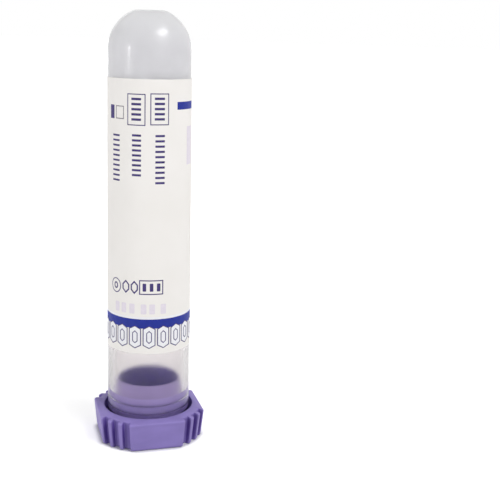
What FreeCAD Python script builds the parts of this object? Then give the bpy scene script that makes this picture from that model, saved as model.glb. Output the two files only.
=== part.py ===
"""Blood collection tube: a round-bottomed plastic tube, upside down on its push-in cap.

Three pieces: the moulded tube, the film label wrapped round it, and the moulded cap whose plug goes
into the tube's mouth. Lengths are in millimetres and angles in degrees. +Z runs from the cap's outer
face, at z = 0, along the axis to the tube's domed end. The cap's four flats face along X and Y.
"""

import FreeCAD, Part
import math
import os

import Sketcher

# Driving sizes. Each is written once here, goes into the sheet, and drives the sketches from there.
SIZES = {
    # tube
    "mouth_diameter": 12.0,  # outside, at the open end
    "wall": 0.95,
    "tube_length": 59.5,
    "tube_taper": 0.26,  # how much smaller the radius is at the dome than at the mouth
    "pole_flat": 0.4,  # how much the flat at the tip takes off the dome
    "pole_wall": 0.9,  # thickness at the tip of the dome
    "lip_radius": 0.25,
    "mouth_chamfer": 0.3,
    # label
    "film": 0.08,
    "label_start": 12.2,  # from the tube's mouth
    "label_margin": 3.66,  # from the label's other end to where the dome starts
    "label_wrap": 349.0,  # the rest of the turn is the gap at the seam
    "label_corner": 0.8,
    # cap, outside
    "seat_height": 1.9,  # from the outer face to where the tube's mouth rests
    "flange_height": 4.5,
    "collar_gap": 0.48,  # round the tube, inside the collar
    "collar_wall": 1.16,  # at the middle of a flat, on the tube's side
    "flat_taper": 0.38,  # how much the flats close in towards the outer face
    "corner_rise": 0.92,  # from the flats out to the round corners, on the tube's side
    "corner_taper": 0.5,  # how much the round corners close in towards the outer face
    "brim_drop": 0.3,  # from the collar's inner edge down to the round corners, on the tube's side
    "edge_radius": 0.35,
    # grip flutes in each round corner
    "flute_width": 1.15,
    "flute_pitch": 12.35,
    "flute_wall": 0.82,  # between the collar's inside and a flute's floor, at the outer face
    "flute_lean": 0.42,  # how much further out the floor is on the tube's side
    # plug
    "plug_clearance": 0.05,  # between a bead and the tube's bore, at the mouth
    "plug_height": 8.77,  # from the outer face to the plug's tip
    "plug_wall": 0.73,  # at a bead
    "bead_depth": 0.14,
    "bead_start": 3.9,
    "first_bead": 0.65,
    "second_bead": 0.95,
    "bead_spacing": 0.25,
    "nose_land": 0.55,  # from the groove under the nose to where the nose starts to narrow
    "nose_taper": 0.44,  # how much smaller the radius is at the plug's tip than at the beads
    "tip_rounding": 0.2,
    # membrane, and the well on its outer side
    "membrane_height": 4.4,  # from the outer face
    "membrane_wall": 0.6,
    "well_chamfer": 0.15,
    "rib_width": 2.05,
    "rib_depth": 0.65,
    "flap_inset": 1.02,  # from the well's wall to the flap's face
    "flap_wall": 0.6,
    "flap_drop": 0.5,  # from the outer face to the flap's edge
    "slot_width": 0.65,
    "slot_length": 4.1,
    "slot_depth": 1.5,
}
QUARTERS = 4
FULL_TURN = 360.0
RIGHT_ANGLE_RADIANS = math.pi / 2
DOME_DRAWN_RADIANS = 1.4  # how far round the dome is first drawn, before the flat at its tip trims it
CORNER_TURN = 45.0
FLAP_TURN = 225.0
LABEL_TURN = -90.0  # puts the label's seam at the back, facing +Y
FLUTES = (-1, 0, 1)
OVERCUT = 2.0  # how far a cutting outline runs past what it cuts
NEAR = 1e-4  # two places this close are the same
HALF = 0.5


class Size:
    """A length kept as a number, to draw with, and as an expression of the sheet, which drives it."""

    def __init__(self, number, text):
        self.number = number
        self.text = text

    def __add__(self, other):
        return Size(self.number + other.number, f"({self.text} + {other.text})")

    def __sub__(self, other):
        return Size(self.number - other.number, f"({self.text} - {other.text})")

    def __mul__(self, factor):
        return Size(self.number * factor, f"({self.text} * {factor})")

    def __neg__(self):
        return self * -1.0


def size(name):
    """A driving size, by its name in the sheet."""
    return Size(SIZES[name], f"Sizes.{name}")


def plain(number):
    """A size that the sheet doesn't hold."""
    return Size(number, str(number))


ZERO = plain(0.0)

# Sizes that follow from the driving ones.
mouth_radius = size("mouth_diameter") * HALF
bore_radius = mouth_radius - size("wall")
dome_radius = mouth_radius - size("tube_taper")
tube_top = size("seat_height") + size("tube_length")
dome_centre = tube_top + size("pole_flat") - dome_radius
collar_radius = mouth_radius + size("collar_gap")
flat_inner = collar_radius + size("collar_wall")
flat_outer = flat_inner - size("flat_taper")
corner_inner = flat_inner + size("corner_rise")
corner_outer = corner_inner - size("corner_taper")
plug_radius = bore_radius - size("plug_clearance")
neck_radius = plug_radius - size("bead_depth")
brim_height = size("flange_height") - size("brim_drop")
nose_radius = plug_radius - size("nose_taper")  # at the tip
well_radius = plug_radius - size("plug_wall")
inside_plug_wall = well_radius + (neck_radius - well_radius) * HALF
flap_face = well_radius - size("flap_inset")
slot_face = flap_face + size("flap_wall")


def make_sheet(document):
    """The sheet of driving sizes: one row each, with the size's name as its alias."""
    sheet = document.addObject("Spreadsheet::Sheet", "Sizes")
    for row, (name, number) in enumerate(SIZES.items(), start=1):
        sheet.set(f"A{row}", name)
        sheet.set(f"B{row}", str(number))
        sheet.setAlias(f"B{row}", name)
    document.recompute()


def origin_part(body, role):
    """The body's own origin plane or axis with that role."""
    return next(part for part in body.Origin.OriginFeatures if part.Role == role)


def new_body(document, name, turn=0.0):
    """An empty body for one piece, turned about the axis."""
    body = document.addObject("PartDesign::Body", name)
    body.Label = name
    rotation = FreeCAD.Rotation(FreeCAD.Vector(0, 0, 1), turn)
    body.Placement = FreeCAD.Placement(FreeCAD.Vector(), rotation)
    return body


def new_sketch(body, name, plane, lift=ZERO, turn=ZERO):
    """A sketch on an origin plane of the body, raised by lift and turned about the body's axis."""
    sketch = body.newObject("Sketcher::SketchObject", name)
    sketch.AttachmentSupport = [(origin_part(body, plane), "")]
    sketch.MapMode = "FlatFace"
    up = FreeCAD.Vector(0, 0, 1)
    axis = up if plane == "XY_Plane" else FreeCAD.Vector(0, 1, 0)
    sketch.AttachmentOffset = FreeCAD.Placement(up * lift.number, FreeCAD.Rotation(axis, turn.number))
    if lift is not ZERO:
        sketch.setExpression("AttachmentOffset.Base.z", lift.text)
    if turn is not ZERO:
        sketch.setExpression("AttachmentOffset.Rotation.Angle", turn.text)
    return sketch


def drive(sketch, kind, references, length):
    """Adds a dimension that the sheet drives. A negative distance is measured the other way."""
    if length.number < 0:
        references = references[2:] + references[:2]
        length = -length
    index = sketch.addConstraint(Sketcher.Constraint(kind, *references, length.number))
    sketch.setExpression(f"Constraints[{index}]", length.text)


def hold(sketch, edge, end, place):
    """Holds a point of an edge at a place, which is a pair of sizes."""
    origin = (-1, 1)
    for kind, axis, length in zip(("DistanceX", "DistanceY"), (-2, -1), place):
        if length is ZERO:
            sketch.addConstraint(Sketcher.Constraint("PointOnObject", edge, end, axis))
        else:
            drive(sketch, kind, (*origin, edge, end), length)


def add_line(sketch, start, end, construction=False):
    points = [FreeCAD.Vector(x.number, y.number, 0) for x, y in (start, end)]
    return sketch.addGeometry(Part.LineSegment(*points), construction)


def add_arc(sketch, centre, radius, start_angle, end_angle, construction=False):
    """An arc held at its centre and radius. Its angles, in radians, are left to what it joins."""
    middle = FreeCAD.Vector(centre[0].number, centre[1].number, 0)
    circle = Part.Circle(middle, FreeCAD.Vector(0, 0, 1), radius.number)
    arc = sketch.addGeometry(Part.ArcOfCircle(circle, start_angle, end_angle), construction)
    hold(sketch, arc, 3, centre)
    drive(sketch, "Radius", (arc,), radius)
    return arc


def join(sketch, first, second):
    """Makes the end of one edge and the start of the next the same point."""
    sketch.addConstraint(Sketcher.Constraint("Coincident", first, 2, second, 1))


def add_outline(sketch, corners):
    """A closed outline of straight lines through the corners, each held by its own pair of sizes."""
    following = corners[1:] + corners[:1]
    lines = [add_line(sketch, start, end) for start, end in zip(corners, following)]
    for line, following_line in zip(lines, lines[1:] + lines[:1]):
        join(sketch, line, following_line)
    for line, corner in zip(lines, corners):
        hold(sketch, line, 1, corner)


def add_box(sketch, near, far, half_width):
    """A rectangle from near to far along X, and half_width to each side of it."""
    corners = [(near, -half_width), (far, -half_width), (far, half_width), (near, half_width)]
    add_outline(sketch, corners)


def revolve(body, sketch, name, angle):
    turned = body.newObject("PartDesign::Revolution", name)
    turned.Profile = sketch
    turned.ReferenceAxis = (sketch, ["V_Axis"])
    turned.Midplane = True
    turned.setExpression("Angle", angle.text)


def pad(body, sketch, name, length):
    raised = body.newObject("PartDesign::Pad", name)
    raised.Profile = sketch
    raised.setExpression("Length", length.text)
    return raised


def cut_through(body, sketch, name):
    """A pocket through everything, both ways from the sketch."""
    pocket = body.newObject("PartDesign::Pocket", name)
    pocket.Profile = sketch
    pocket.Type = "ThroughAll"
    pocket.Midplane = True
    return pocket


def repeat_round(body, features, name):
    """The features once at each quarter turn about the axis."""
    pattern = body.newObject("PartDesign::PolarPattern", name)
    pattern.Originals = features
    pattern.Axis = (origin_part(body, "Z_Axis"), [""])
    pattern.Angle = FULL_TURN
    pattern.Occurrences = QUARTERS
    body.Tip = pattern


def dress(body, kind, name, wanted, driver, length):
    """A fillet or chamfer on the edges, of the shape so far, that pass the test wanted."""
    body.Document.recompute()
    base = body.Tip
    edges = [f"Edge{i}" for i, edge in enumerate(base.Shape.Edges, start=1) if wanted(edge)]
    if not edges:
        raise RuntimeError(f"{name} finds no edges")
    dressed = body.newObject(f"PartDesign::{kind}", name)
    dressed.Base = (base, edges)
    dressed.setExpression(driver, length.text)


def level_at(edge, height):
    """Whether the edge lies level at that height."""
    box = edge.BoundBox
    return abs(box.ZMin - height.number) < NEAR and abs(box.ZMax - height.number) < NEAR


def ring_at(radius, height):
    """A test for the round edge about the axis with that radius and height."""

    def wanted(edge):
        return level_at(edge, height) and abs(edge.BoundBox.XMax - radius.number) < NEAR

    return wanted


def add_tube_side(sketch, construction=False):
    """The tube's outer side in section: a line from the mouth, tangent to the dome's arc."""
    line = add_line(
        sketch, (mouth_radius, size("seat_height")), (dome_radius, dome_centre), construction
    )
    hold(sketch, line, 1, (mouth_radius, size("seat_height")))
    arc = add_arc(sketch, (ZERO, dome_centre), dome_radius, 0.0, DOME_DRAWN_RADIANS, construction)
    sketch.addConstraint(Sketcher.Constraint("Tangent", line, 2, arc, 1))
    return line, arc


def make_tube(document):
    """The moulded tube: a thin tapered wall, a domed end with a small flat, and a rounded lip."""
    body = new_body(document, "tube")
    sketch = new_sketch(body, "TubeSection", "XZ_Plane")
    seat = size("seat_height")
    pole = tube_top - size("pole_wall")
    inner_radius = dome_radius - size("wall")
    inner_centre = pole - inner_radius
    side, dome = add_tube_side(sketch)
    flat = add_line(sketch, (inner_radius * HALF, tube_top), (ZERO, tube_top))
    axis = add_line(sketch, (ZERO, tube_top), (ZERO, pole))
    inner_dome = add_arc(sketch, (ZERO, inner_centre), inner_radius, 0.0, RIGHT_ANGLE_RADIANS)
    inner_side = add_line(sketch, (inner_radius, inner_centre), (bore_radius, seat))
    mouth = add_line(sketch, (bore_radius, seat), (mouth_radius, seat))
    join(sketch, dome, flat)
    join(sketch, flat, axis)
    hold(sketch, axis, 1, (ZERO, tube_top))
    sketch.addConstraint(Sketcher.Constraint("Horizontal", flat))
    sketch.addConstraint(Sketcher.Constraint("Coincident", axis, 2, inner_dome, 2))
    sketch.addConstraint(Sketcher.Constraint("PointOnObject", inner_dome, 2, -2))
    sketch.addConstraint(Sketcher.Constraint("Tangent", inner_dome, 1, inner_side, 1))
    join(sketch, inner_side, mouth)
    join(sketch, mouth, side)
    hold(sketch, inner_side, 2, (bore_radius, seat))
    revolve(body, sketch, "TubeWall", plain(FULL_TURN))
    dress(body, "Fillet", "LipRounding", ring_at(mouth_radius, seat), "Radius", size("lip_radius"))
    dress(body, "Chamfer", "LeadIn", ring_at(bore_radius, seat), "Size", size("mouth_chamfer"))
    return body


def make_label(document):
    """The film label: it lies on the tube's tapered side and stops short of a full turn."""
    body = new_body(document, "label", LABEL_TURN)
    sketch = new_sketch(body, "LabelSection", "XZ_Plane")
    side, _ = add_tube_side(sketch, construction=True)
    start = size("seat_height") + size("label_start")
    end = dome_centre - size("label_margin")
    outside = mouth_radius + size("film")
    corners = [(mouth_radius, start), (outside, start), (outside, end), (mouth_radius, end)]
    lower, outer, upper, inner = (
        add_line(sketch, corners[i], corners[(i + 1) % len(corners)]) for i in range(len(corners))
    )
    for first, second in ((lower, outer), (outer, upper), (upper, inner), (inner, lower)):
        join(sketch, first, second)
    for edge, height in ((lower, start), (upper, end)):
        sketch.addConstraint(Sketcher.Constraint("Horizontal", edge))
        drive(sketch, "DistanceY", (-1, 1, edge, 1), height)
    for point in (1, 2):
        sketch.addConstraint(Sketcher.Constraint("PointOnObject", inner, point, side))
    sketch.addConstraint(Sketcher.Constraint("Parallel", outer, inner))
    drive(sketch, "Distance", (outer, 1, inner), size("film"))
    revolve(body, sketch, "LabelFilm", size("label_wrap"))

    def short_edge(edge):
        return edge.Length < 2 * SIZES["film"]

    dress(body, "Fillet", "LabelCorners", short_edge, "Radius", size("label_corner"))
    return body


def cap_section():
    """The cap's outline in section, from the outer face round the collar, the seat and the plug."""
    beads = []
    height = size("bead_start")
    for bead in (size("first_bead"), size("second_bead")):
        beads.append((neck_radius, height))
        beads.append((plug_radius, height + size("bead_depth")))
        beads.append((plug_radius, height + bead - size("bead_depth")))
        beads.append((neck_radius, height + bead))
        height = height + bead + size("bead_spacing")
    return [
        (well_radius, ZERO),
        (corner_outer, ZERO),
        (corner_inner, brim_height),
        (collar_radius, size("flange_height")),
        (collar_radius, size("seat_height")),
        (neck_radius, size("seat_height")),
        *beads,
        (neck_radius, height),
        (plug_radius, height + size("bead_depth")),
        (plug_radius, height + size("nose_land")),
        (nose_radius, size("plug_height")),
        (well_radius, size("plug_height")),
        (well_radius, size("membrane_height") + size("membrane_wall")),
        (ZERO, size("membrane_height") + size("membrane_wall")),
        (ZERO, size("membrane_height")),
        (well_radius, size("membrane_height")),
    ]


def flange_edge(edge):
    """Whether an edge is on the outside of the flange: round its two faces, or up between them."""
    reach = min(math.hypot(vertex.Point.x, vertex.Point.y) for vertex in edge.Vertexes)
    return reach > flat_outer.number - NEAR


def cut_flats(body):
    """The four flats of the flange, which close in towards the outer face."""
    sketch = new_sketch(body, "FlatSection", "XZ_Plane")
    outside = corner_inner + plain(OVERCUT)
    top = size("flange_height")
    add_outline(sketch, [(flat_outer, ZERO), (outside, ZERO), (outside, top), (flat_inner, top)])
    repeat_round(body, [cut_through(body, sketch, "Flat")], "Flats")
    dress(body, "Fillet", "FlangeEdges", flange_edge, "Radius", size("edge_radius"))


def cut_flutes(body):
    """The grip flutes: a few side by side in each round corner, open at both ends."""
    floor = collar_radius + size("flute_wall")
    inner_floor = floor + size("flute_lean")
    outside = corner_inner + plain(OVERCUT)
    top = size("flange_height")
    flutes = []
    for place in FLUTES:
        turn = plain(CORNER_TURN) + size("flute_pitch") * place
        sketch = new_sketch(body, f"FluteSection{len(flutes)}", "XZ_Plane", turn=turn)
        add_outline(sketch, [(floor, ZERO), (outside, ZERO), (outside, top), (inner_floor, top)])
        flute = body.newObject("PartDesign::Pocket", f"Flute{len(flutes)}")
        flute.Profile = sketch
        flute.Midplane = True
        flute.setExpression("Length", size("flute_width").text)
        flutes.append(flute)
    repeat_round(body, flutes, "Flutes")


def add_ribs(body):
    """The ribs up the well's wall, one facing each flat."""
    lift = size("well_chamfer")
    sketch = new_sketch(body, "RibOutline", "XY_Plane", lift=lift)
    add_box(sketch, well_radius - size("rib_depth"), inside_plug_wall, size("rib_width") * HALF)
    rib = pad(body, sketch, "Rib", size("membrane_height") - lift)
    repeat_round(body, [rib], "Ribs")


def add_flap(body):
    """The flap across the well towards one corner: flat on its face, and round where it meets the wall."""
    lift = size("flap_drop")
    sketch = new_sketch(body, "FlapOutline", "XY_Plane", lift=lift, turn=plain(FLAP_TURN))
    half_chord = math.sqrt(inside_plug_wall.number**2 - flap_face.number**2)
    reach = half_chord / inside_plug_wall.number
    arc = add_arc(sketch, (ZERO, ZERO), inside_plug_wall, -reach, reach)
    chord = sketch.addGeometry(
        Part.LineSegment(
            FreeCAD.Vector(flap_face.number, half_chord, 0),
            FreeCAD.Vector(flap_face.number, -half_chord, 0),
        ),
        False,
    )
    join(sketch, arc, chord)
    join(sketch, chord, arc)
    sketch.addConstraint(Sketcher.Constraint("Vertical", chord))
    drive(sketch, "DistanceX", (-1, 1, chord, 1), flap_face)
    pad(body, sketch, "Flap", size("membrane_height") - lift)


def cut_slot(body):
    """The slot behind the flap, sunk into the outer face."""
    sketch = new_sketch(body, "SlotOutline", "XY_Plane", turn=plain(FLAP_TURN))
    add_box(sketch, slot_face, slot_face + size("slot_width"), size("slot_length") * HALF)
    slot = body.newObject("PartDesign::Pocket", "Slot")
    slot.Profile = sketch
    slot.Reversed = True
    slot.setExpression("Length", size("slot_depth").text)


def make_cap(document):
    """The moulded cap: a fluted flange, a collar round the tube, and a hollow plug with a membrane."""
    body = new_body(document, "cap")
    sketch = new_sketch(body, "CapSection", "XZ_Plane")
    add_outline(sketch, cap_section())
    revolve(body, sketch, "CapBlank", plain(FULL_TURN))
    tip_edge = ring_at(nose_radius, size("plug_height"))
    dress(body, "Fillet", "PlugTip", tip_edge, "Radius", size("tip_rounding"))
    well_edge = ring_at(well_radius, ZERO)
    dress(body, "Chamfer", "WellEdge", well_edge, "Size", size("well_chamfer"))
    cut_flats(body)
    cut_flutes(body)
    add_ribs(body)
    add_flap(body)
    cut_slot(body)
    return body


def check(document, bodies):
    """Stops if any object failed to recompute, or a piece isn't one sound solid."""
    for thing in document.Objects:
        if "Invalid" in thing.State or "Error" in thing.State:
            raise RuntimeError(f"{thing.Name} failed: {thing.State}")
    for body in bodies:
        shape = body.Shape
        if shape.isNull() or not shape.isValid() or len(shape.Solids) != 1:
            raise RuntimeError(f"{body.Label} is not one valid solid")


def main():
    document = FreeCAD.newDocument("BloodCollectionTube")
    make_sheet(document)
    bodies = [make_tube(document), make_label(document), make_cap(document)]
    document.recompute()
    check(document, bodies)
    os.makedirs("parts", exist_ok=True)
    for body in bodies:
        body.Shape.exportStep(f"parts/{body.Label}.step")
        print(f"{body.Label}: {body.Shape.Volume:.1f} mm3")


main()
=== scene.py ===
"""Looks of the blood collection tube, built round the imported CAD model.

A milky plastic tube, the film label round it with the inks printed on it, and the purple moulded
cap it stands on. Lengths are in millimetres until a mesh is made. Angles round the axis are in
degrees, from -Y towards +X, so that 0 faces the front.
"""

import math

import bmesh
import bpy
from mathutils import Matrix, Vector


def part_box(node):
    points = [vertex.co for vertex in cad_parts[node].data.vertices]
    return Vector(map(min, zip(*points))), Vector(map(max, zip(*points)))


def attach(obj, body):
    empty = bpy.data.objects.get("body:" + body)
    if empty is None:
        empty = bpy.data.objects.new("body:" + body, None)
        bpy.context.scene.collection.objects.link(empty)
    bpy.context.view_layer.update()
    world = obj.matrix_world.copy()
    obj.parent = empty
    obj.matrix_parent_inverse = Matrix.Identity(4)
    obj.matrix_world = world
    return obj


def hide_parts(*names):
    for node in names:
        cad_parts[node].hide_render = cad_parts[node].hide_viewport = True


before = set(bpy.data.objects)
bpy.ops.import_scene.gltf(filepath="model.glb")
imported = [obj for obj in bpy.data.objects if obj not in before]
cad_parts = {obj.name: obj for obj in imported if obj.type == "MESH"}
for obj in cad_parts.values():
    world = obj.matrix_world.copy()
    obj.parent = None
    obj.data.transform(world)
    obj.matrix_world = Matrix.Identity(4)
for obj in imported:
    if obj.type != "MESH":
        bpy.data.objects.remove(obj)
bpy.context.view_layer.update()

MM = 0.001
FULL_TURN = 360.0
TURN_POINTS = 192  # round the tube and the cap's round walls
SMOOTH_ANGLE = 30.0  # edges with a greater angle between their faces stay sharp


def lowest_and_highest(node):
    """Heights of a CAD node's lowest and highest points."""
    low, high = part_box(node)
    return low.z / MM, high.z / MM


def reach(node):
    """How far a CAD node goes from the axis."""
    return max(math.hypot(v.co.x, v.co.y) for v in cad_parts[node].data.vertices) / MM


# Tube
MOUTH, TUBE_TOP = lowest_and_highest("tube")
MOUTH_RADIUS = reach("tube")
WALL = 0.95
TUBE_TAPER = 0.26  # how much smaller the radius is at the dome than at the mouth
POLE_FLAT = 0.4  # how much the flat at the tip takes off the dome
POLE_WALL = 0.9
POLE_EDGE = 0.3  # rounding round the flat
POLE_EDGE_DROP = 0.012  # how far the surface has dropped in the middle of that rounding
DOME_STEPS = 28
WALL_STEPS = 24
LIP_RADIUS = 0.25
MOUTH_CHAMFER = 0.3
BORE_RADIUS = MOUTH_RADIUS - WALL
DOME_RADIUS = MOUTH_RADIUS - TUBE_TAPER
DOME_CENTRE = TUBE_TOP + POLE_FLAT - DOME_RADIUS
INNER_DOME_RADIUS = DOME_RADIUS - WALL
INNER_DOME_CENTRE = TUBE_TOP - POLE_WALL - INNER_DOME_RADIUS

# Label
LABEL_LOW, LABEL_HIGH = lowest_and_highest("label")
FILM = 0.08
FILM_GAP = 0.01  # keeps the film's inner side off the tube's surface
LABEL_WRAP = 349.0
LABEL_CORNER = 0.8
LAYER = 0.006  # thickness of one layer of ink
ARC_RADIUS = 6.0  # distances across the label are measured round this radius
ARC_STEP = 0.25  # longest straight piece of a curved shape
HALF_WRAP = math.radians(LABEL_WRAP / 2) * ARC_RADIUS
BAND = (17.85, 19.2)  # heights
BAND_RIM = (19.2, 19.5)
ORNAMENTS = 18  # all the way round
ORNAMENT_GAP = 0.18  # on each side of one
ORNAMENT = (14.95, 18.2)
ORNAMENT_SHOULDER = 0.45  # how much lower its corners are than its points
ORNAMENT_HOLE = (15.7, 17.45)

# Cap
CAP_FACE, CAP_TIP = lowest_and_highest("cap")
FLANGE_TOP = 4.5
COLLAR_GAP = 0.48
COLLAR_RADIUS = MOUTH_RADIUS + COLLAR_GAP
COLLAR_ROUNDING = 0.12
SEAT_ROUNDING = 0.15
FLAT_TOP = COLLAR_RADIUS + 1.138  # from the axis to a flat, on the tube's side
FLAT_FACE = FLAT_TOP - 0.38  # and at the outer face
CORNER_TOP = FLAT_TOP + 0.92
CORNER_FACE = CORNER_TOP - 0.5
BRIM_DROP = 0.3  # how far the brim slopes down from the collar's inner edge to the round corners
EDGE_RADIUS = 0.35  # of the flange's edge at the outer face
BRIM_EDGE_RADIUS = 0.24  # and on the tube's side
FLUTE_FLOOR = COLLAR_RADIUS + 0.82  # at the outer face
FLUTE_LEAN = 0.42  # how much further out the floor is on the tube's side
FLUTE_WIDTH = 1.15
FLUTE_PITCH = 12.35
FLUTE_EDGE_SHARE = 0.3  # how much of the flange's edge rounding a flute's floor has
RIDGE_ROUNDING = 0.17
PLUG_RADIUS = BORE_RADIUS - 0.05
NECK_RADIUS = PLUG_RADIUS - 0.14
SQUEEZE = 0.02  # how far the beads press into the bore, so that no air is seen between them
BEADS = ((3.75, 4.5), (4.62, 5.74))
BEAD_EDGE = 0.05
NOSE = (5.86, 6.9)  # where it starts, above the second bead's groove, and where it starts to narrow
NOSE_SHOULDER = (0.03, 0.1)  # how much it narrows, and how far up, before it tapers
NOSE_TAPER = 0.44
TIP_ROUNDING = 0.2
TIP_INNER_ROUNDING = 0.06
RECESS_ROUNDING = 0.25
WELL_RADIUS = PLUG_RADIUS - 0.73
MEMBRANE = (4.4, 5.0)
WELL_CHAMFER = 0.15
WELL_ROUNDING = 0.2
INTO_WALL = 0.25  # how far the ribs and the flap run into the well's wall and the membrane
RIB_WIDTH = 2.05
RIB_DEPTH = 0.65
RIB_ROUNDING = 0.12
FLAP_FACE = WELL_RADIUS - 1.02
FLAP_WALL = 0.6
FLAP_DROP = 0.5
FLAP_ROUNDING = 0.1
FLAP_ANGLE = -45.0  # the corner between -X and -Y
SLOT_WIDTH = 0.65
SLOT_LENGTH = 4.1
SLOT_DEPTH = 1.5
SLOT_START = 1.0  # how far outside the cap's face its cutting block starts


# ---------------------------------------------------------------- meshes

def polar(radius, angle, height):
    """A point at a distance from the axis, an angle round it and a height."""
    turn = math.radians(angle)
    return Vector((radius * math.sin(turn), -radius * math.cos(turn), height))


def arc(centre, radius, start, end, steps):
    """Points (r, z) of an arc in a section, from start to end degrees, 0 pointing outwards."""
    points = []
    for i in range(steps + 1):
        turn = math.radians(start + (end - start) * i / steps)
        points.append((centre[0] + radius * math.cos(turn), centre[1] + radius * math.sin(turn)))
    return points


def make_object(bm, name, material, body, smooth_angle=SMOOTH_ANGLE):
    """A finished piece from a bmesh in millimetres."""
    bmesh.ops.scale(bm, vec=(MM, MM, MM), verts=bm.verts)
    mesh = bpy.data.meshes.new(name)
    bm.to_mesh(mesh)
    bm.free()
    mesh.shade_smooth()
    mesh.set_sharp_from_angle(angle=math.radians(smooth_angle))
    mesh.materials.append(material)
    piece = bpy.data.objects.new(name, mesh)
    bpy.context.scene.collection.objects.link(piece)
    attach(piece, body)
    return piece


def settle(piece):
    """Makes a piece's modifiers part of its mesh, and marks its sharp edges again."""
    shape = piece.evaluated_get(bpy.context.evaluated_depsgraph_get())
    changed = bpy.data.meshes.new_from_object(shape)
    piece.modifiers.clear()
    piece.data = changed
    changed.shade_smooth()
    changed.set_sharp_from_angle(angle=math.radians(SMOOTH_ANGLE))


def join_rows(bm, rows):
    """Rows of points, each a closed ring, joined by quads. Returns the rows as mesh points."""
    made = [[bm.verts.new(p) for p in row] for row in rows]
    for row, following in zip(made, made[1:]):
        for i in range(len(row)):
            bm.faces.new((row[i - 1], row[i], following[i], following[i - 1]))
    return made


def close_row(bm, row, height):
    """Closes a ring with triangles that meet on the axis."""
    centre = bm.verts.new((0.0, 0.0, height))
    for i in range(len(row)):
        bm.faces.new((row[i - 1], row[i], centre))


def lathe_rows(section):
    """One ring of points for each (r, z) of a section."""
    step = FULL_TURN / TURN_POINTS
    return [[polar(r, i * step, z) for i in range(TURN_POINTS)] for r, z in section]


# ---------------------------------------------------------------- tube

def outer_radius(height):
    """Radius of the tube's outside at a height below the dome."""
    return MOUTH_RADIUS - TUBE_TAPER * (height - MOUTH) / (DOME_CENTRE - MOUTH)


def bore_radius(height):
    """Radius of the bore at a height below the dome."""
    return BORE_RADIUS - TUBE_TAPER * (height - MOUTH) / (INNER_DOME_CENTRE - MOUTH)


def tube_section():
    """The tube's section, from the middle of its tip down the outside and back up the bore."""
    flat_reach = math.sqrt(DOME_RADIUS**2 - (TUBE_TOP - DOME_CENTRE) ** 2)
    flat_angle = math.degrees(math.acos(flat_reach / DOME_RADIUS))
    edge_turn = math.degrees(POLE_EDGE / DOME_RADIUS)
    section = [(flat_reach * 0.5, TUBE_TOP), (flat_reach - POLE_EDGE, TUBE_TOP)]
    section.append((flat_reach - POLE_EDGE * 0.45, TUBE_TOP - POLE_EDGE_DROP))
    section += arc((0.0, DOME_CENTRE), DOME_RADIUS, flat_angle - edge_turn, 0.0, DOME_STEPS)
    lip_top = MOUTH + LIP_RADIUS
    for i in range(1, WALL_STEPS + 1):
        height = DOME_CENTRE + (lip_top - DOME_CENTRE) * (i / WALL_STEPS)
        section.append((outer_radius(height), height))
    lip_centre = (MOUTH_RADIUS - LIP_RADIUS, lip_top)
    section += arc(lip_centre, LIP_RADIUS, -20.0, -90.0, 4)
    section.append((BORE_RADIUS + MOUTH_CHAMFER, MOUTH))
    chamfer_top = MOUTH + MOUTH_CHAMFER
    for i in range(WALL_STEPS):
        share = i / WALL_STEPS
        height = chamfer_top + (INNER_DOME_CENTRE - chamfer_top) * share
        section.append((BORE_RADIUS + (INNER_DOME_RADIUS - BORE_RADIUS) * share, height))
    section += arc((0.0, INNER_DOME_CENTRE), INNER_DOME_RADIUS, 0.0, 86.0, DOME_STEPS)
    return section


def make_tube():
    """The round-bottomed tube, a closed wall with its open mouth down."""
    bm = bmesh.new()
    rows = join_rows(bm, lathe_rows(tube_section()))
    close_row(bm, rows[0], TUBE_TOP)
    close_row(bm, rows[-1], TUBE_TOP - POLE_WALL)
    bmesh.ops.recalc_face_normals(bm, faces=bm.faces)
    tube = make_object(bm, "tube_shell", tube_plastic(), "tube",
                       smooth_angle=40.0)
    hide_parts("tube")


# ---------------------------------------------------------------- label and its print

def on_label(across, height, level):
    """A point on the label: across is measured round it from the front, level counts ink layers."""
    radius = outer_radius(height) + FILM + LAYER * level
    return polar(radius, math.degrees(across / ARC_RADIUS), height)


def columns(left, right, corner):
    """Places across a shape at which it is cut into columns, closer together at rounded ends."""
    count = max(1, math.ceil((right - left - 2 * corner) / ARC_STEP))
    places = [left + corner + (right - left - 2 * corner) * i / count for i in range(count + 1)]
    if corner:
        ends = [corner * (1 - math.cos(math.radians(turn))) for turn in range(0, 90, 15)]
        places = [left + e for e in ends] + places + [right - e for e in reversed(ends)]
    return places


def patch(ink, left, right, low, high, corner=0.0, level=1):
    """A filled rectangle of ink, with rounded corners if corner is given."""
    before = None
    for place in columns(left, right, corner):
        into = min(place - left, right - place)
        short = corner - into
        inset = corner - math.sqrt(max(corner**2 - short**2, 0.0)) if short > 0 else 0.0
        pair = [ink.verts.new(on_label(place, z, level)) for z in (low + inset, high - inset)]
        if before:
            ink.faces.new((before[0], pair[0], pair[1], before[1]))
        before = pair


def stroke(ink, path, width, level=1):
    """A closed line of even width along a path of (across, height) points."""
    points = []
    for (a, b), (c, d) in zip(path, path[1:] + path[:1]):
        count = max(1, math.ceil(abs(c - a) / ARC_STEP))
        for i in range(count):
            points.append(Vector((a + (c - a) * i / count, b + (d - b) * i / count)))
    pairs = []
    for i, here in enumerate(points):
        back = (here - points[i - 1]).normalized()
        ahead = (points[(i + 1) % len(points)] - here).normalized()
        normal = Vector((back.y + ahead.y, -back.x - ahead.x)).normalized()
        side = normal * (width / 2 / max(normal.dot(Vector((ahead.y, -ahead.x))), 0.3))
        pairs.append([ink.verts.new(on_label(*(here + side), level)),
                      ink.verts.new(on_label(*(here - side), level))])
    for before, pair in zip(pairs, pairs[1:] + pairs[:1]):
        ink.faces.new((before[0], pair[0], pair[1], before[1]))


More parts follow.
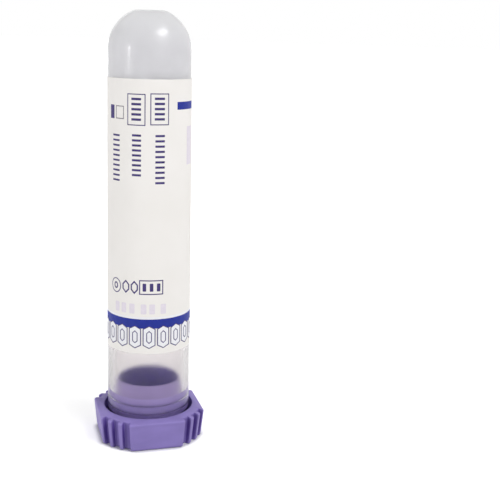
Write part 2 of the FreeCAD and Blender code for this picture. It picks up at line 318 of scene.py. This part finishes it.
def box_path(left, right, low, high):
    """The outline of a rectangle, for stroke."""
    return [(left, low), (right, low), (right, high), (left, high)]


def ellipse_path(left, right, low, high, count=28):
    """The outline of an ellipse, for stroke."""
    centre = ((left + right) / 2, (low + high) / 2)
    turns = [2 * math.pi * i / count for i in range(count)]
    return [(centre[0] + (right - left) / 2 * math.cos(t),
             centre[1] + (high - low) / 2 * math.sin(t)) for t in turns]


def lozenge_path(left, right, low, high, shoulder):
    """A six-sided outline, pointed at its top and bottom."""
    middle = (left + right) / 2
    return [(middle, low), (right, low + shoulder), (right, high - shoulder),
            (middle, high), (left, high - shoulder), (left, low + shoulder)]


def lozenge_patch(ink, left, right, low, high, shoulder, level):
    """A filled six-sided shape, pointed at its top and bottom."""
    before = None
    middle = (left + right) / 2
    places = [left, (left + middle) / 2, middle, (right + middle) / 2, right]
    for place in places:
        inset = shoulder * abs(place - middle) / (right - middle)
        pair = [ink.verts.new(on_label(place, z, level)) for z in (low + inset, high - inset)]
        if before:
            ink.faces.new((before[0], pair[0], pair[1], before[1]))
        before = pair


def tally_marks(ink, left, right, low, high, count, bar):
    """A column of equal bars, where a code would stand."""
    cell = (high - low) / count
    for i in range(count):
        middle = low + cell * (i + 0.5)
        patch(ink, left, right, middle - bar / 2, middle + bar / 2)


def print_label(inks):
    """All the print: frames, marks, the band and the row of ornaments that overlaps it."""
    dark, blue, white, pale, grey = (inks[n] for n in ("dark", "blue", "white", "pale", "grey"))
    # upper group
    for left, right, low, high in ((-4.19, -1.70, 46.3, 50.4), (-0.91, 1.61, 46.4, 50.5)):
        stroke(dark, box_path(left, right, low, high), 0.13)
        tally_marks(dark, left + 0.55, right - 0.55, low + 0.4, high - 0.3, 5, 0.32)
    tally_marks(dark, -3.54, -2.23, 39.2, 45.25, 9, 0.3)
    tally_marks(dark, -0.26, 1.08, 38.15, 45.25, 10, 0.3)
    tally_marks(dark, -7.02, -5.6, 38.3, 45.1, 10, 0.26)
    patch(dark, -7.68, -6.71, 46.95, 48.8)
    stroke(grey, box_path(-6.3, -4.9, 47.05, 48.7), 0.12)
    patch(blue, 3.08, 7.33, 48.35, 49.4)
    patch(pale, 5.24, 6.91, 40.7, 46.0)
    # lower group
    stroke(dark, ellipse_path(-7.2, -5.4, 22.7, 24.7), 0.14)
    stroke(dark, ellipse_path(-6.6, -6.0, 23.3, 24.1, 12), 0.2)
    for left, right in ((-4.95, -4.0), (-3.6, -2.7)):
        stroke(dark, lozenge_path(left, right, 22.95, 24.6, 0.5), 0.2)
    stroke(dark, box_path(-2.37, 0.89, 22.85, 24.8), 0.15)
    for left in (-1.95, -0.95, 0.05):
        patch(dark, left, left + 0.5, 23.25, 24.4, 0.1)
    for left in (-6.4, -5.2, -3.9, -2.2, -1.0, 0.6):
        patch(pale, left, left + 0.8, 19.95, 21.4, 0.15)
    # band and ornaments, all the way round
    patch(white, -HALF_WRAP, HALF_WRAP, *BAND_RIM)
    patch(blue, -HALF_WRAP, HALF_WRAP, *BAND)
    pitch = 2 * HALF_WRAP / ORNAMENTS
    for i in range(ORNAMENTS):
        left = -HALF_WRAP + pitch * i + ORNAMENT_GAP
        right = left + pitch - 2 * ORNAMENT_GAP
        lozenge_patch(white, left, right, *ORNAMENT, ORNAMENT_SHOULDER, 2)
        stroke(dark, lozenge_path(left, right, *ORNAMENT, ORNAMENT_SHOULDER), 0.13, 3)
        stroke(dark, lozenge_path(left + 0.5, right - 0.5, *ORNAMENT_HOLE, 0.3), 0.12, 3)


def make_label():
    """The film, its seam at the back, and the inks printed on it."""
    film = bmesh.new()
    patch(film, -HALF_WRAP, HALF_WRAP, LABEL_LOW, LABEL_HIGH, LABEL_CORNER, 0)
    sheet = make_object(film, "label_sheet", label_film(), "tube")
    thick = sheet.modifiers.new("thickness", "SOLIDIFY")
    thick.thickness = (FILM - FILM_GAP) * MM
    thick.offset = -1.0
    settle(sheet)
    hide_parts("label")
    inks = {name: bmesh.new() for name in INKS}
    print_label(inks)
    for name, bm in inks.items():
        make_object(bm, f"label_ink_{name}", ink(name, *INKS[name]), "tube")


# ---------------------------------------------------------------- cap

def corner_points(flat, corner, floor):
    """Outline of one corner of the flange, with its three flutes, facing +X."""
    half = FLUTE_WIDTH / 2
    end = math.sqrt(corner**2 - flat**2)
    turn = Matrix.Rotation(math.radians(-45.0), 2)
    points = [turn @ Vector((end, flat))]
    for k in (1, 0, -1):
        turn = Matrix.Rotation(math.radians(k * FLUTE_PITCH), 2)
        rim = math.sqrt(corner**2 - half**2)
        for r, side in ((rim, half), (floor, half), (floor, -half), (rim, -half)):
            points.append(turn @ Vector((r, side)))
    turn = Matrix.Rotation(math.radians(45.0), 2)
    points.append(turn @ Vector((end, -flat)))
    return points


def rounded(points, radius, steps=4):
    """A closed outline with its corners rounded off by short curves."""
    out = []
    for i, here in enumerate(points):
        back = points[i - 1] - here
        ahead = points[(i + 1) % len(points)] - here
        bend = math.pi - back.angle(ahead)
        near = min(radius * math.tan(bend / 2), 0.45 * min(back.length, ahead.length))
        start = here + back.normalized() * near
        end = here + ahead.normalized() * near
        for k in range(steps + 1):
            t = k / steps
            out.append(start * (1 - t) ** 2 + here * 2 * t * (1 - t) + end * t**2)
    return out


def flange_row(height, inset):
    """The flange's outline at a height, drawn in by inset at its edges. The brim slopes down."""
    share = (height - CAP_FACE) / (FLANGE_TOP - CAP_FACE)
    flat = FLAT_FACE + (FLAT_TOP - FLAT_FACE) * share - inset
    corner = CORNER_FACE + (CORNER_TOP - CORNER_FACE) * share - inset
    floor = FLUTE_FLOOR + FLUTE_LEAN * share - inset * FLUTE_EDGE_SHARE
    slope = BRIM_DROP / (CORNER_TOP - COLLAR_RADIUS) * share
    points = []
    for quarter in range(4):
        turn = Matrix.Rotation(math.radians(45.0 - 90.0 * quarter), 2)
        points += [turn @ p for p in corner_points(flat, corner, floor)]
    return [Vector((p.x, p.y, height - slope * (p.length - COLLAR_RADIUS)))
            for p in rounded(points, RIDGE_ROUNDING)]


def flange_rows():
    """Outlines from the outer face to the tube's side, with rounded edges."""
    turns = [math.radians(t) for t in range(0, 91, 15)]
    bottom = [flange_row(CAP_FACE + EDGE_RADIUS * (1 - math.cos(t)),
                         EDGE_RADIUS * (1 - math.sin(t))) for t in turns]
    top = [flange_row(FLANGE_TOP - BRIM_EDGE_RADIUS * (1 - math.cos(t)),
                      BRIM_EDGE_RADIUS * (1 - math.sin(t))) for t in reversed(turns)]
    return bottom + top


def plug_section():
    """Section from the collar's edge down to the seat, up the plug and into its recess."""
    rim = (COLLAR_RADIUS + COLLAR_ROUNDING, FLANGE_TOP - COLLAR_ROUNDING)
    seat = MOUTH + SEAT_ROUNDING
    section = arc(rim, COLLAR_ROUNDING, 90.0, 180.0, 4)
    section += arc((COLLAR_RADIUS - SEAT_ROUNDING, seat), SEAT_ROUNDING, 0.0, -90.0, 3)
    section += arc((NECK_RADIUS + SEAT_ROUNDING, seat), SEAT_ROUNDING, -90.0, -180.0, 3)
    for low, high in BEADS:
        seal = bore_radius(high) + SQUEEZE
        section += [(NECK_RADIUS, low), (seal - BEAD_EDGE, low), (seal, low + BEAD_EDGE)]
        section += [(seal, high - BEAD_EDGE), (seal - BEAD_EDGE, high), (NECK_RADIUS, high)]
    low, high = NOSE
    seal = bore_radius(high) + SQUEEZE
    section += [(NECK_RADIUS, low), (seal - BEAD_EDGE, low), (seal, low + BEAD_EDGE)]
    narrower, along = NOSE_SHOULDER
    section += [(seal, high - along), (seal - narrower, high + along)]
    tip = PLUG_RADIUS - NOSE_TAPER
    section += arc((tip - TIP_ROUNDING, CAP_TIP - TIP_ROUNDING), TIP_ROUNDING, 10.0, 90.0, 6)
    inner_tip = (WELL_RADIUS + TIP_INNER_ROUNDING, CAP_TIP - TIP_INNER_ROUNDING)
    section += arc(inner_tip, TIP_INNER_ROUNDING, 90.0, 180.0, 3)
    recess = (WELL_RADIUS - RECESS_ROUNDING, MEMBRANE[1] + RECESS_ROUNDING)
    section += arc(recess, RECESS_ROUNDING, 0.0, -90.0, 4)
    return section


def well_section():
    """Section of the open well in the outer face, up to the membrane."""
    section = [(WELL_RADIUS + WELL_CHAMFER, CAP_FACE), (WELL_RADIUS, CAP_FACE + WELL_CHAMFER)]
    end = (WELL_RADIUS - WELL_ROUNDING, MEMBRANE[0] - WELL_ROUNDING)
    section += arc(end, WELL_ROUNDING, 0.0, 90.0, 4)
    return section


def fill_between(bm, outer, inner):
    """Fills the level ring between two closed rows of mesh points."""
    edges = []
    for row in (outer, inner):
        for i in range(len(row)):
            edges.append(bm.edges.get((row[i - 1], row[i])))
    bmesh.ops.triangle_fill(bm, use_beauty=True, use_dissolve=False, edges=edges)


def block(name, angle, near, far, half_width, low, high, bevel=0.0):
    """A block that lies across the direction at an angle, from near to far from the axis."""
    bm = bmesh.new()
    bmesh.ops.create_cube(bm, size=1.0)
    size = Vector((far - near, 2 * half_width, high - low))
    bmesh.ops.scale(bm, vec=size, verts=bm.verts)
    bmesh.ops.translate(bm, vec=((near + far) / 2, 0.0, (low + high) / 2), verts=bm.verts)
    if bevel:
        bmesh.ops.bevel(bm, geom=bm.edges[:], offset=bevel, segments=3, affect="EDGES",
                        profile=0.5)
    turn = Matrix.Rotation(math.radians(angle - 90.0), 3, "Z")
    bmesh.ops.rotate(bm, matrix=turn, verts=bm.verts)
    bmesh.ops.scale(bm, vec=(MM, MM, MM), verts=bm.verts)
    mesh = bpy.data.meshes.new(name)
    bm.to_mesh(mesh)
    bm.free()
    made = bpy.data.objects.new(name, mesh)
    bpy.context.scene.collection.objects.link(made)
    return made


def combine(piece, tool, operation):
    """Adds tool to piece, or cuts it out, and discards it."""
    change = piece.modifiers.new("change", "BOOLEAN")
    change.object = tool
    change.operation = operation
    change.solver = "EXACT"
    settle(piece)
    bpy.data.objects.remove(tool)


def make_cap():
    """The cap: a fluted square flange, a collar, and the hollow plug with its membrane."""
    bm = bmesh.new()
    flange = join_rows(bm, flange_rows())
    plug = join_rows(bm, lathe_rows(plug_section()))
    well = join_rows(bm, lathe_rows(well_section()))
    close_row(bm, plug[-1], MEMBRANE[1])
    close_row(bm, well[-1], MEMBRANE[0])
    fill_between(bm, flange[-1], plug[0])
    fill_between(bm, flange[0], well[0])
    bmesh.ops.recalc_face_normals(bm, faces=bm.faces)
    cap = make_object(bm, "cap_moulding", cap_plastic(), "cap")
    wall = WELL_RADIUS + INTO_WALL
    top = MEMBRANE[0] + INTO_WALL
    for quarter in range(4):
        rib = block("rib", 90.0 * quarter, WELL_RADIUS - RIB_DEPTH, wall, RIB_WIDTH / 2,
                    CAP_FACE + WELL_CHAMFER, top, RIB_ROUNDING)
        combine(cap, rib, "UNION")
    flap_back = FLAP_FACE + FLAP_WALL
    half_flap = math.sqrt(wall**2 - flap_back**2)
    flap = block("flap", FLAP_ANGLE, FLAP_FACE, flap_back, half_flap,
                 CAP_FACE + FLAP_DROP, top, FLAP_ROUNDING)
    combine(cap, flap, "UNION")
    slot = block("slot", FLAP_ANGLE, flap_back, flap_back + SLOT_WIDTH, SLOT_LENGTH / 2,
                 CAP_FACE - SLOT_START, CAP_FACE + SLOT_DEPTH)
    combine(cap, slot, "DIFFERENCE")
    shading = cap.modifiers.new("shading", "WEIGHTED_NORMAL")
    shading.keep_sharp = True
    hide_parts("cap")


# ---------------------------------------------------------------- materials

def srgb(red, green, blue):
    """A colour as a screen shows it, 0 to 255, as the linear colour that a shader takes."""
    shares = [channel / 255 for channel in (red, green, blue)]
    linear = [((c + 0.055) / 1.055) ** 2.4 if c > 0.04 else c / 12.92 for c in shares]
    return (*linear, 1.0)


INKS = {  # colour, and how far the colour varies
    "dark": (srgb(66, 56, 112), 0.25),
    "blue": (srgb(24, 42, 142), 0.12),
    "white": (srgb(240, 240, 244), 0.02),
    "pale": (srgb(229, 222, 232), 0.03),
    "grey": (srgb(120, 116, 126), 0.15),
}


class Nodes:
    """A material's node tree, with short calls to add and join nodes."""

    def __init__(self, name):
        self.material = bpy.data.materials.new(name)
        self.material.use_nodes = True
        self.tree = self.material.node_tree
        self.shader = self.tree.nodes["Principled BSDF"]

    def add(self, kind, **values):
        """A node, with the given properties or input values."""
        node = self.tree.nodes.new(kind)
        for key, value in values.items():
            if key in node.inputs:
                node.inputs[key].default_value = value
            else:
                setattr(node, key, value)
        return node

    def join(self, source, target):
        """Joins an output to an input."""
        self.tree.links.new(source, target)

    def noise(self, scale, detail=2.0, stretch=(1.0, 1.0, 1.0)):
        """Noise over the object's own coordinates, with scale in features a millimetre."""
        place = self.add("ShaderNodeTexCoord")
        mapping = self.add("ShaderNodeMapping")
        mapping.inputs["Scale"].default_value = stretch
        texture = self.add("ShaderNodeTexNoise")
        texture.inputs["Scale"].default_value = scale / MM
        texture.inputs["Detail"].default_value = detail
        self.join(place.outputs["Object"], mapping.inputs["Vector"])
        self.join(mapping.outputs["Vector"], texture.inputs["Vector"])
        return texture.outputs["Fac"]

    def between(self, factor, low, high, limits=(0.3, 0.7)):
        """A number that goes from low to high as a factor goes through its limits."""
        ramp = self.add("ShaderNodeMapRange")
        ramp.inputs["From Min"].default_value = limits[0]
        ramp.inputs["From Max"].default_value = limits[1]
        ramp.inputs["To Min"].default_value = low
        ramp.inputs["To Max"].default_value = high
        self.join(factor, ramp.inputs["Value"])
        return ramp.outputs["Result"]

    def blend(self, factor, first, second):
        """A colour that follows a factor from first to second."""
        mix = self.add("ShaderNodeMix", data_type="RGBA")
        mix.inputs[6].default_value = first
        mix.inputs[7].default_value = second
        self.join(self.between(factor, 0.0, 1.0), mix.inputs["Factor"])
        return mix.outputs[2]

    def mix(self, share, first, second):
        """Two colours that nodes make, mixed by a share from 0 to 1."""
        mix = self.add("ShaderNodeMix", data_type="RGBA")
        self.join(share, mix.inputs["Factor"])
        self.join(first, mix.inputs[6])
        self.join(second, mix.inputs[7])
        return mix.outputs[2]

    def distance(self, directions):
        """How far a point is from the object's origin, counting only the given directions."""
        place = self.add("ShaderNodeTexCoord")
        parts = self.add("ShaderNodeVectorMath", operation="MULTIPLY")
        parts.inputs[1].default_value = directions
        length = self.add("ShaderNodeVectorMath", operation="LENGTH")
        self.join(place.outputs["Object"], parts.inputs[0])
        self.join(parts.outputs["Vector"], length.inputs[0])
        return length.outputs["Value"]

    def follow(self, distance, limits, before=0.0, after=1.0):
        """A number that goes from before to after between two distances in millimetres."""
        ramp = self.add("ShaderNodeMapRange")
        ramp.inputs["From Min"].default_value = limits[0] * MM
        ramp.inputs["From Max"].default_value = limits[1] * MM
        ramp.inputs["To Min"].default_value = before
        ramp.inputs["To Max"].default_value = after
        self.join(distance, ramp.inputs["Value"])
        return ramp.outputs["Result"]

    def change(self, distance, limits, before, after):
        """Changes from one colour to another between two distances in millimetres."""
        return self.mix(self.follow(distance, limits), before, after)

    def occlusion(self, reach, only_local=True):
        """How open a surface is within a reach: low in its recesses, or beside another object."""
        node = self.add("ShaderNodeAmbientOcclusion", only_local=only_local)
        node.inputs["Distance"].default_value = reach * MM
        return node.outputs["AO"]

    def steps(self, distance, stops):
        """A factor that goes through (millimetres, value) stops."""
        ramp = self.add("ShaderNodeValToRGB")
        low, high = stops[0][0], stops[-1][0]
        self.join(self.follow(distance, (low, high)), ramp.inputs["Fac"])
        points = ramp.color_ramp.elements
        while len(points) < len(stops):
            points.new(0.5)
        for point, (place, value) in zip(points, stops):
            point.position = (place - low) / (high - low)
            point.color = (value, value, value, 1.0)
        return ramp.outputs["Color"]

    def bump(self, height, distance, strength=1.0):
        """Relief from a factor, with a depth of distance in millimetres."""
        relief = self.add("ShaderNodeBump")
        relief.inputs["Strength"].default_value = strength
        relief.inputs["Distance"].default_value = distance * MM
        self.join(height, relief.inputs["Height"])
        self.join(relief.outputs["Normal"], self.shader.inputs["Normal"])


def tint(colour, factor):
    """A colour made lighter or darker."""
    return tuple(c * factor for c in colour[:3]) + (1.0,)


MOUTH_TINTS = ((0.81, 0.785, 0.79, 1.0), (0.84, 0.815, 0.82, 1.0))  # in the surface, linear
DOME_TINTS = ((0.885, 0.88, 0.905, 1.0), (0.925, 0.92, 0.945, 1.0))
TIP_TINTS = ((0.95, 0.95, 0.965, 1.0), (0.98, 0.98, 0.99, 1.0))
CLEARNESS = (0.993, 0.54)  # share of light let through, at the mouth and at the dome
COAT = (0.08, 0.4)  # and how strongly each shines
WALL_DENSITY = 120.0  # a metre: darkens the tube where the view runs along its wall
# Where a face in view is rougher than about 0.27 in some places and smoother in others, the
# render shows specks. So the mouth stays below that and the dome above. The change is short, and
# behind the label's low edge, where only the gap at the seam shows it.
MOUTH_ROUGHNESS = (0.248, 0.264)
DOME_ROUGHER = 0.05
ROUGHNESS_CHANGE = 1.0


def tube_plastic():
    """Natural polypropylene, satin: nearly clear at the mouth, milkier at the dome."""
    nodes = Nodes("tube_plastic")
    shader = nodes.shader
    cloud = nodes.noise(0.35)
    height = nodes.distance((0.0, 0.0, 1.0))
    mouth = nodes.blend(cloud, *MOUTH_TINTS)
    dome = nodes.blend(cloud, *DOME_TINTS)
    tip = nodes.blend(cloud, *TIP_TINTS)
    above = nodes.change(height, (DOME_CENTRE, TUBE_TOP), dome, tip)
    label = (LABEL_LOW, LABEL_HIGH)
    nodes.join(nodes.change(height, label, mouth, above), shader.inputs["Base Color"])
    rough = nodes.add("ShaderNodeMath", operation="ADD")
    nodes.join(nodes.between(nodes.noise(1.2, 4.0), *MOUTH_ROUGHNESS), rough.inputs[0])
    low_edge = (LABEL_LOW, LABEL_LOW + ROUGHNESS_CHANGE)
    nodes.join(nodes.follow(height, low_edge, 0.0, DOME_ROUGHER), rough.inputs[1])
    nodes.join(rough.outputs["Value"], shader.inputs["Roughness"])
    nodes.join(nodes.follow(height, label, *CLEARNESS), shader.inputs["Transmission Weight"])
    nodes.join(nodes.follow(height, label, *COAT), shader.inputs["Coat Weight"])
    shader.inputs["IOR"].default_value = 1.3
    shader.inputs["Coat Roughness"].default_value = 0.18
    nodes.bump(nodes.noise(0.8, 3.0, (1.0, 1.0, 0.3)), 0.01, 0.5)
    depth = nodes.add("ShaderNodeVolumeAbsorption")
    depth.inputs["Color"].default_value = (0.5, 0.5, 0.5, 1.0)
    depth.inputs["Density"].default_value = WALL_DENSITY
    nodes.join(depth.outputs["Volume"], nodes.tree.nodes["Material Output"].inputs["Volume"])
    return nodes.material


def label_film():
    """Cream plastic film, slightly uneven in tone, satin."""
    nodes = Nodes("label_film")
    shader = nodes.shader
    cloud = nodes.noise(0.12, 3.0)
    nodes.join(nodes.blend(cloud, srgb(240, 237, 233), srgb(244, 241, 238)),
               shader.inputs["Base Color"])
    nodes.join(nodes.between(nodes.noise(3.0, 3.0), 0.6, 0.7), shader.inputs["Roughness"])
    shader.inputs["Specular IOR Level"].default_value = 0.3
    nodes.bump(nodes.noise(4.0, 2.0), 0.004, 0.5)
    return nodes.material


def ink(name, colour, variation):
    """Printing ink, a little uneven."""
    nodes = Nodes(f"ink_{name}")
    shader = nodes.shader
    cloud = nodes.noise(2.5, 4.0)
    nodes.join(nodes.blend(cloud, tint(colour, 1 - variation), tint(colour, 1 + variation)),
               shader.inputs["Base Color"])
    nodes.join(nodes.between(nodes.noise(3.0), 0.5, 0.62), shader.inputs["Roughness"])
    shader.inputs["Specular IOR Level"].default_value = 0.3
    return nodes.material


PURPLE = srgb(136, 122, 184)
SHADE_PURPLE = srgb(88, 66, 146)  # painted shade, in the flange's recesses and the plug's grooves
NOSE_LIGHT_PURPLE = srgb(171, 154, 215)  # painted light on the plug's nose
DIM_PURPLE = srgb(118, 92, 204)  # painted shade inside the plug's recess
RECESS_REACH = 1.8  # how near another face has to be to shade a recess
RECESS_LIMITS = (0.36, 0.82)  # how open a place is where it takes the full painted shade, and where it takes none
GROOVE_SHADE = (  # heights on the plug, and how light it is there: painted shade, darker in its grooves
    (3.5, 1.0), (4.1, 0.95), (4.4, 0.62), (4.7, 0.62), (5.0, 0.9),
    (5.4, 0.9), (5.7, 0.66), (5.95, 0.66), (6.25, 0.95), (6.85, 0.95), (6.95, 1.0),
)
PLUG_FOOT = (3.4, 3.7)  # heights where the plug's painted light changes
PLUG_HEAD = (5.6, 6.6)
TOP_LIGHT_HEIGHTS = (3.85, 4.15)  # heights between which the flange's upper edge, and the brim above it, turn lighter: a painted highlight


def cap_plastic():
    """Purple polyethylene, satin, with faint flow marks and a fine grain, painted shade in its
    recesses and grooves, and painted light on its upper edge and on the plug.
    """
    nodes = Nodes("cap_plastic")
    shader = nodes.shader
    cloud = nodes.noise(0.25, 3.0, (1.0, 1.0, 2.0))
    body = nodes.blend(cloud, tint(PURPLE, 0.96), tint(PURPLE, 1.1))
    # painted shade, for the flange's recesses and the plug's grooves
    shaded = nodes.blend(cloud, tint(SHADE_PURPLE, 0.96), tint(SHADE_PURPLE, 1.1))
    # painted highlight on the flange's upper edge and brim
    top_light = nodes.blend(cloud, tint(PURPLE, 1.06), tint(PURPLE, 1.22))
    # painted light on the plug's outside, seen through the tube
    nose_light = nodes.blend(cloud, tint(NOSE_LIGHT_PURPLE, 0.96), tint(NOSE_LIGHT_PURPLE, 1.04))
    bead_light = nodes.blend(cloud, tint(PURPLE, 1.32), tint(PURPLE, 1.42))
    foot_light = nodes.blend(cloud, tint(PURPLE, 1.75), tint(PURPLE, 1.9))
    # painted shade inside the plug's recess
    dim = nodes.blend(cloud, tint(DIM_PURPLE, 0.96), tint(DIM_PURPLE, 1.04))
    radius = nodes.distance((1.0, 1.0, 0.0))
    height = nodes.distance((0.0, 0.0, 1.0))
    # painted highlight above the flange's upper edge
    with_top_light = nodes.change(height, TOP_LIGHT_HEIGHTS, body, top_light)
    # painted shade in the flange's recesses, where occlusion finds them
    recessed = nodes.between(nodes.occlusion(RECESS_REACH), 0.0, 1.0, RECESS_LIMITS)
    flange = nodes.mix(recessed, shaded, with_top_light)
    # painted shade above the membrane, inside the plug
    recess = nodes.change(height, MEMBRANE, body, dim)
    # painted light on the plug's outside, changing with height
    outside = nodes.change(height, PLUG_FOOT, foot_light, nodes.change(height, PLUG_HEAD, bead_light, nose_light))
    wall = nodes.change(radius, (WELL_RADIUS + 0.1, WELL_RADIUS + 0.2), recess, outside)
    # painted shade in the plug's grooves
    wall = nodes.mix(nodes.steps(height, GROOVE_SHADE), shaded, wall)
    plug = nodes.change(radius, (MOUTH_RADIUS - 0.5, MOUTH_RADIUS - 0.3), wall, body)
    inside = nodes.change(height, (MOUTH - 0.3, MOUTH), body, plug)
    nodes.join(nodes.change(radius, (COLLAR_RADIUS, COLLAR_RADIUS + 0.3), inside, flange),
               shader.inputs["Base Color"])
    nodes.join(nodes.between(nodes.noise(2.0, 4.0), 0.4, 0.52), shader.inputs["Roughness"])
    shader.inputs["IOR"].default_value = 1.25
    nodes.bump(nodes.noise(6.0, 2.0), 0.004, 0.6)
    return nodes.material


# ---------------------------------------------------------------- stage, light and camera

def camera_rays(tree):
    """1 for what the camera sees directly, by reflection or through the object, else 0."""
    path = tree.nodes.new("ShaderNodeLightPath")
    total = path.outputs["Is Camera Ray"]
    for name in ("Is Glossy Ray", "Is Transmission Ray"):
        both = tree.nodes.new("ShaderNodeMath")
        both.operation = "MAXIMUM"
        tree.links.new(total, both.inputs[0])
        tree.links.new(path.outputs[name], both.inputs[1])
        total = both.outputs[0]
    return total


AMBIENT_LEVEL = 0.85  # how strongly the surroundings light the object from the sides
AMBIENT_ABOVE = 0.3  # and from straight above
FLOOR_RADIUS = 4000.0
FLOOR_GAP = 0.02  # keeps the floor clear of the cap's outer face
FLOOR_COLOUR = (0.8, 0.8, 0.8, 1.0)
FLOOR_LIFT = (0.55, 0.85)  # added to the floor where it is seen, near the object and away from it
LIFT_REACH = (14.0, 60.0)  # distances between which that changes
CONTACT_REACH = 1.3  # the floor keeps its shadow this near to where the cap touches it
CONTACT_LIMITS = (0.5, 0.85)


def make_world():
    """Even white surroundings, which light the object at a lower level than they are seen."""
    world = bpy.data.worlds.new("surroundings")
    bpy.context.scene.world = world
    world.use_nodes = True
    tree = world.node_tree
    direction = tree.nodes.new("ShaderNodeTexCoord")
    parts = tree.nodes.new("ShaderNodeSeparateXYZ")
    tree.links.new(direction.outputs["Generated"], parts.inputs["Vector"])
    ambient = tree.nodes.new("ShaderNodeMapRange")
    ambient.inputs["To Min"].default_value = AMBIENT_LEVEL
    ambient.inputs["To Max"].default_value = AMBIENT_ABOVE
    tree.links.new(parts.outputs["Z"], ambient.inputs["Value"])
    strength = tree.nodes.new("ShaderNodeMapRange")
    strength.inputs["To Max"].default_value = 1.0
    tree.links.new(ambient.outputs["Result"], strength.inputs["To Min"])
    tree.links.new(camera_rays(tree), strength.inputs["Value"])
    background = tree.nodes["Background"]
    background.inputs["Color"].default_value = (1.0, 1.0, 1.0, 1.0)
    tree.links.new(strength.outputs["Result"], background.inputs["Strength"])


def make_floor():
    """A wide pale floor that runs out of sight."""
    bm = bmesh.new()
    bmesh.ops.create_circle(bm, cap_ends=True, radius=FLOOR_RADIUS * MM, segments=96)
    bmesh.ops.translate(bm, vec=(0.0, 0.0, -FLOOR_GAP * MM), verts=bm.verts)
    mesh = bpy.data.meshes.new("floor")
    bm.to_mesh(mesh)
    bm.free()
    floor = bpy.data.objects.new("floor", mesh)
    bpy.context.scene.collection.objects.link(floor)
    nodes = Nodes("floor_white")
    tree = nodes.tree
    nodes.shader.inputs["Base Color"].default_value = FLOOR_COLOUR
    nodes.shader.inputs["Roughness"].default_value = 0.9
    nodes.shader.inputs["Specular IOR Level"].default_value = 0.0
    glow = nodes.add("ShaderNodeEmission")
    lift = nodes.add("ShaderNodeMath", operation="MULTIPLY")
    away = nodes.distance((1.0, 1.0, 0.0))
    nodes.join(nodes.follow(away, LIFT_REACH, *FLOOR_LIFT), lift.inputs[0])
    nodes.join(nodes.between(nodes.occlusion(CONTACT_REACH, False), 0.0, 1.0, CONTACT_LIMITS),
               lift.inputs[1])
    seen = nodes.add("ShaderNodeMath", operation="MULTIPLY")
    nodes.join(camera_rays(tree), seen.inputs[0])
    nodes.join(lift.outputs["Value"], seen.inputs[1])
    nodes.join(seen.outputs["Value"], glow.inputs["Strength"])
    total = nodes.add("ShaderNodeAddShader")
    nodes.join(nodes.shader.outputs[0], total.inputs[0])
    nodes.join(glow.outputs[0], total.inputs[1])
    nodes.join(total.outputs[0], tree.nodes["Material Output"].inputs["Surface"])
    mesh.materials.append(nodes.material)


LAMP_DISTANCE = 500.0


def add_light(name, angle, elevation, width, height, power):
    """A soft lamp that faces the tube's middle. Width and height are the angles it fills."""
    lamp = bpy.data.lights.new(name, "AREA")
    lamp.shape = "ELLIPSE"
    lamp.size = 2 * LAMP_DISTANCE * math.tan(math.radians(width / 2)) * MM
    lamp.size_y = 2 * LAMP_DISTANCE * math.tan(math.radians(height / 2)) * MM
    lamp.energy = power
    aim = Vector((0.0, 0.0, TUBE_TOP / 2 * MM))
    level = math.radians(elevation)
    out = polar(math.cos(level), angle, math.sin(level))
    holder = bpy.data.objects.new(name, lamp)
    holder.location = aim + out * LAMP_DISTANCE * MM
    holder.rotation_mode = "QUATERNION"
    holder.rotation_quaternion = out.to_track_quat("Z", "Y")
    bpy.context.scene.collection.objects.link(holder)


SENSOR_WIDTH = 36.0
FOCAL_LENGTH = 68.4
CAMERA_PLACE = (-23.61, -132.07, 59.31)
CAMERA_TURN = -16.36  # degrees, from facing +Y
CAMERA_DIP = 13.11  # below level
CAMERA_ROLL = 1.66


def make_camera():
    """The camera, in front of the tube, a little to its left and above it."""
    lens = bpy.data.cameras.new("camera")
    lens.sensor_width = SENSOR_WIDTH
    lens.lens = FOCAL_LENGTH
    lens.clip_start = 0.01
    lens.clip_end = 20.0
    camera = bpy.data.objects.new("camera", lens)
    turn = Matrix.Rotation(math.radians(CAMERA_TURN), 4, "Z")
    tilt = Matrix.Rotation(math.radians(90.0 - CAMERA_DIP), 4, "X")
    roll = Matrix.Rotation(math.radians(CAMERA_ROLL), 4, "Z")
    place = Vector(CAMERA_PLACE) * MM
    camera.matrix_world = Matrix.Translation(place) @ turn @ tilt @ roll
    bpy.context.scene.collection.objects.link(camera)
    bpy.context.scene.camera = camera


make_tube()
make_label()
make_cap()
make_world()
make_floor()
add_light("key", 37.0, 49.0, 30.0, 17.0, 1.2)
add_light("side", -69.0, 7.0, 9.0, 6.0, 0.3)
add_light("wash", -85.0, 5.0, 60.0, 40.0, 0.48)
make_camera()
bpy.context.scene.view_settings.view_transform = "Standard"
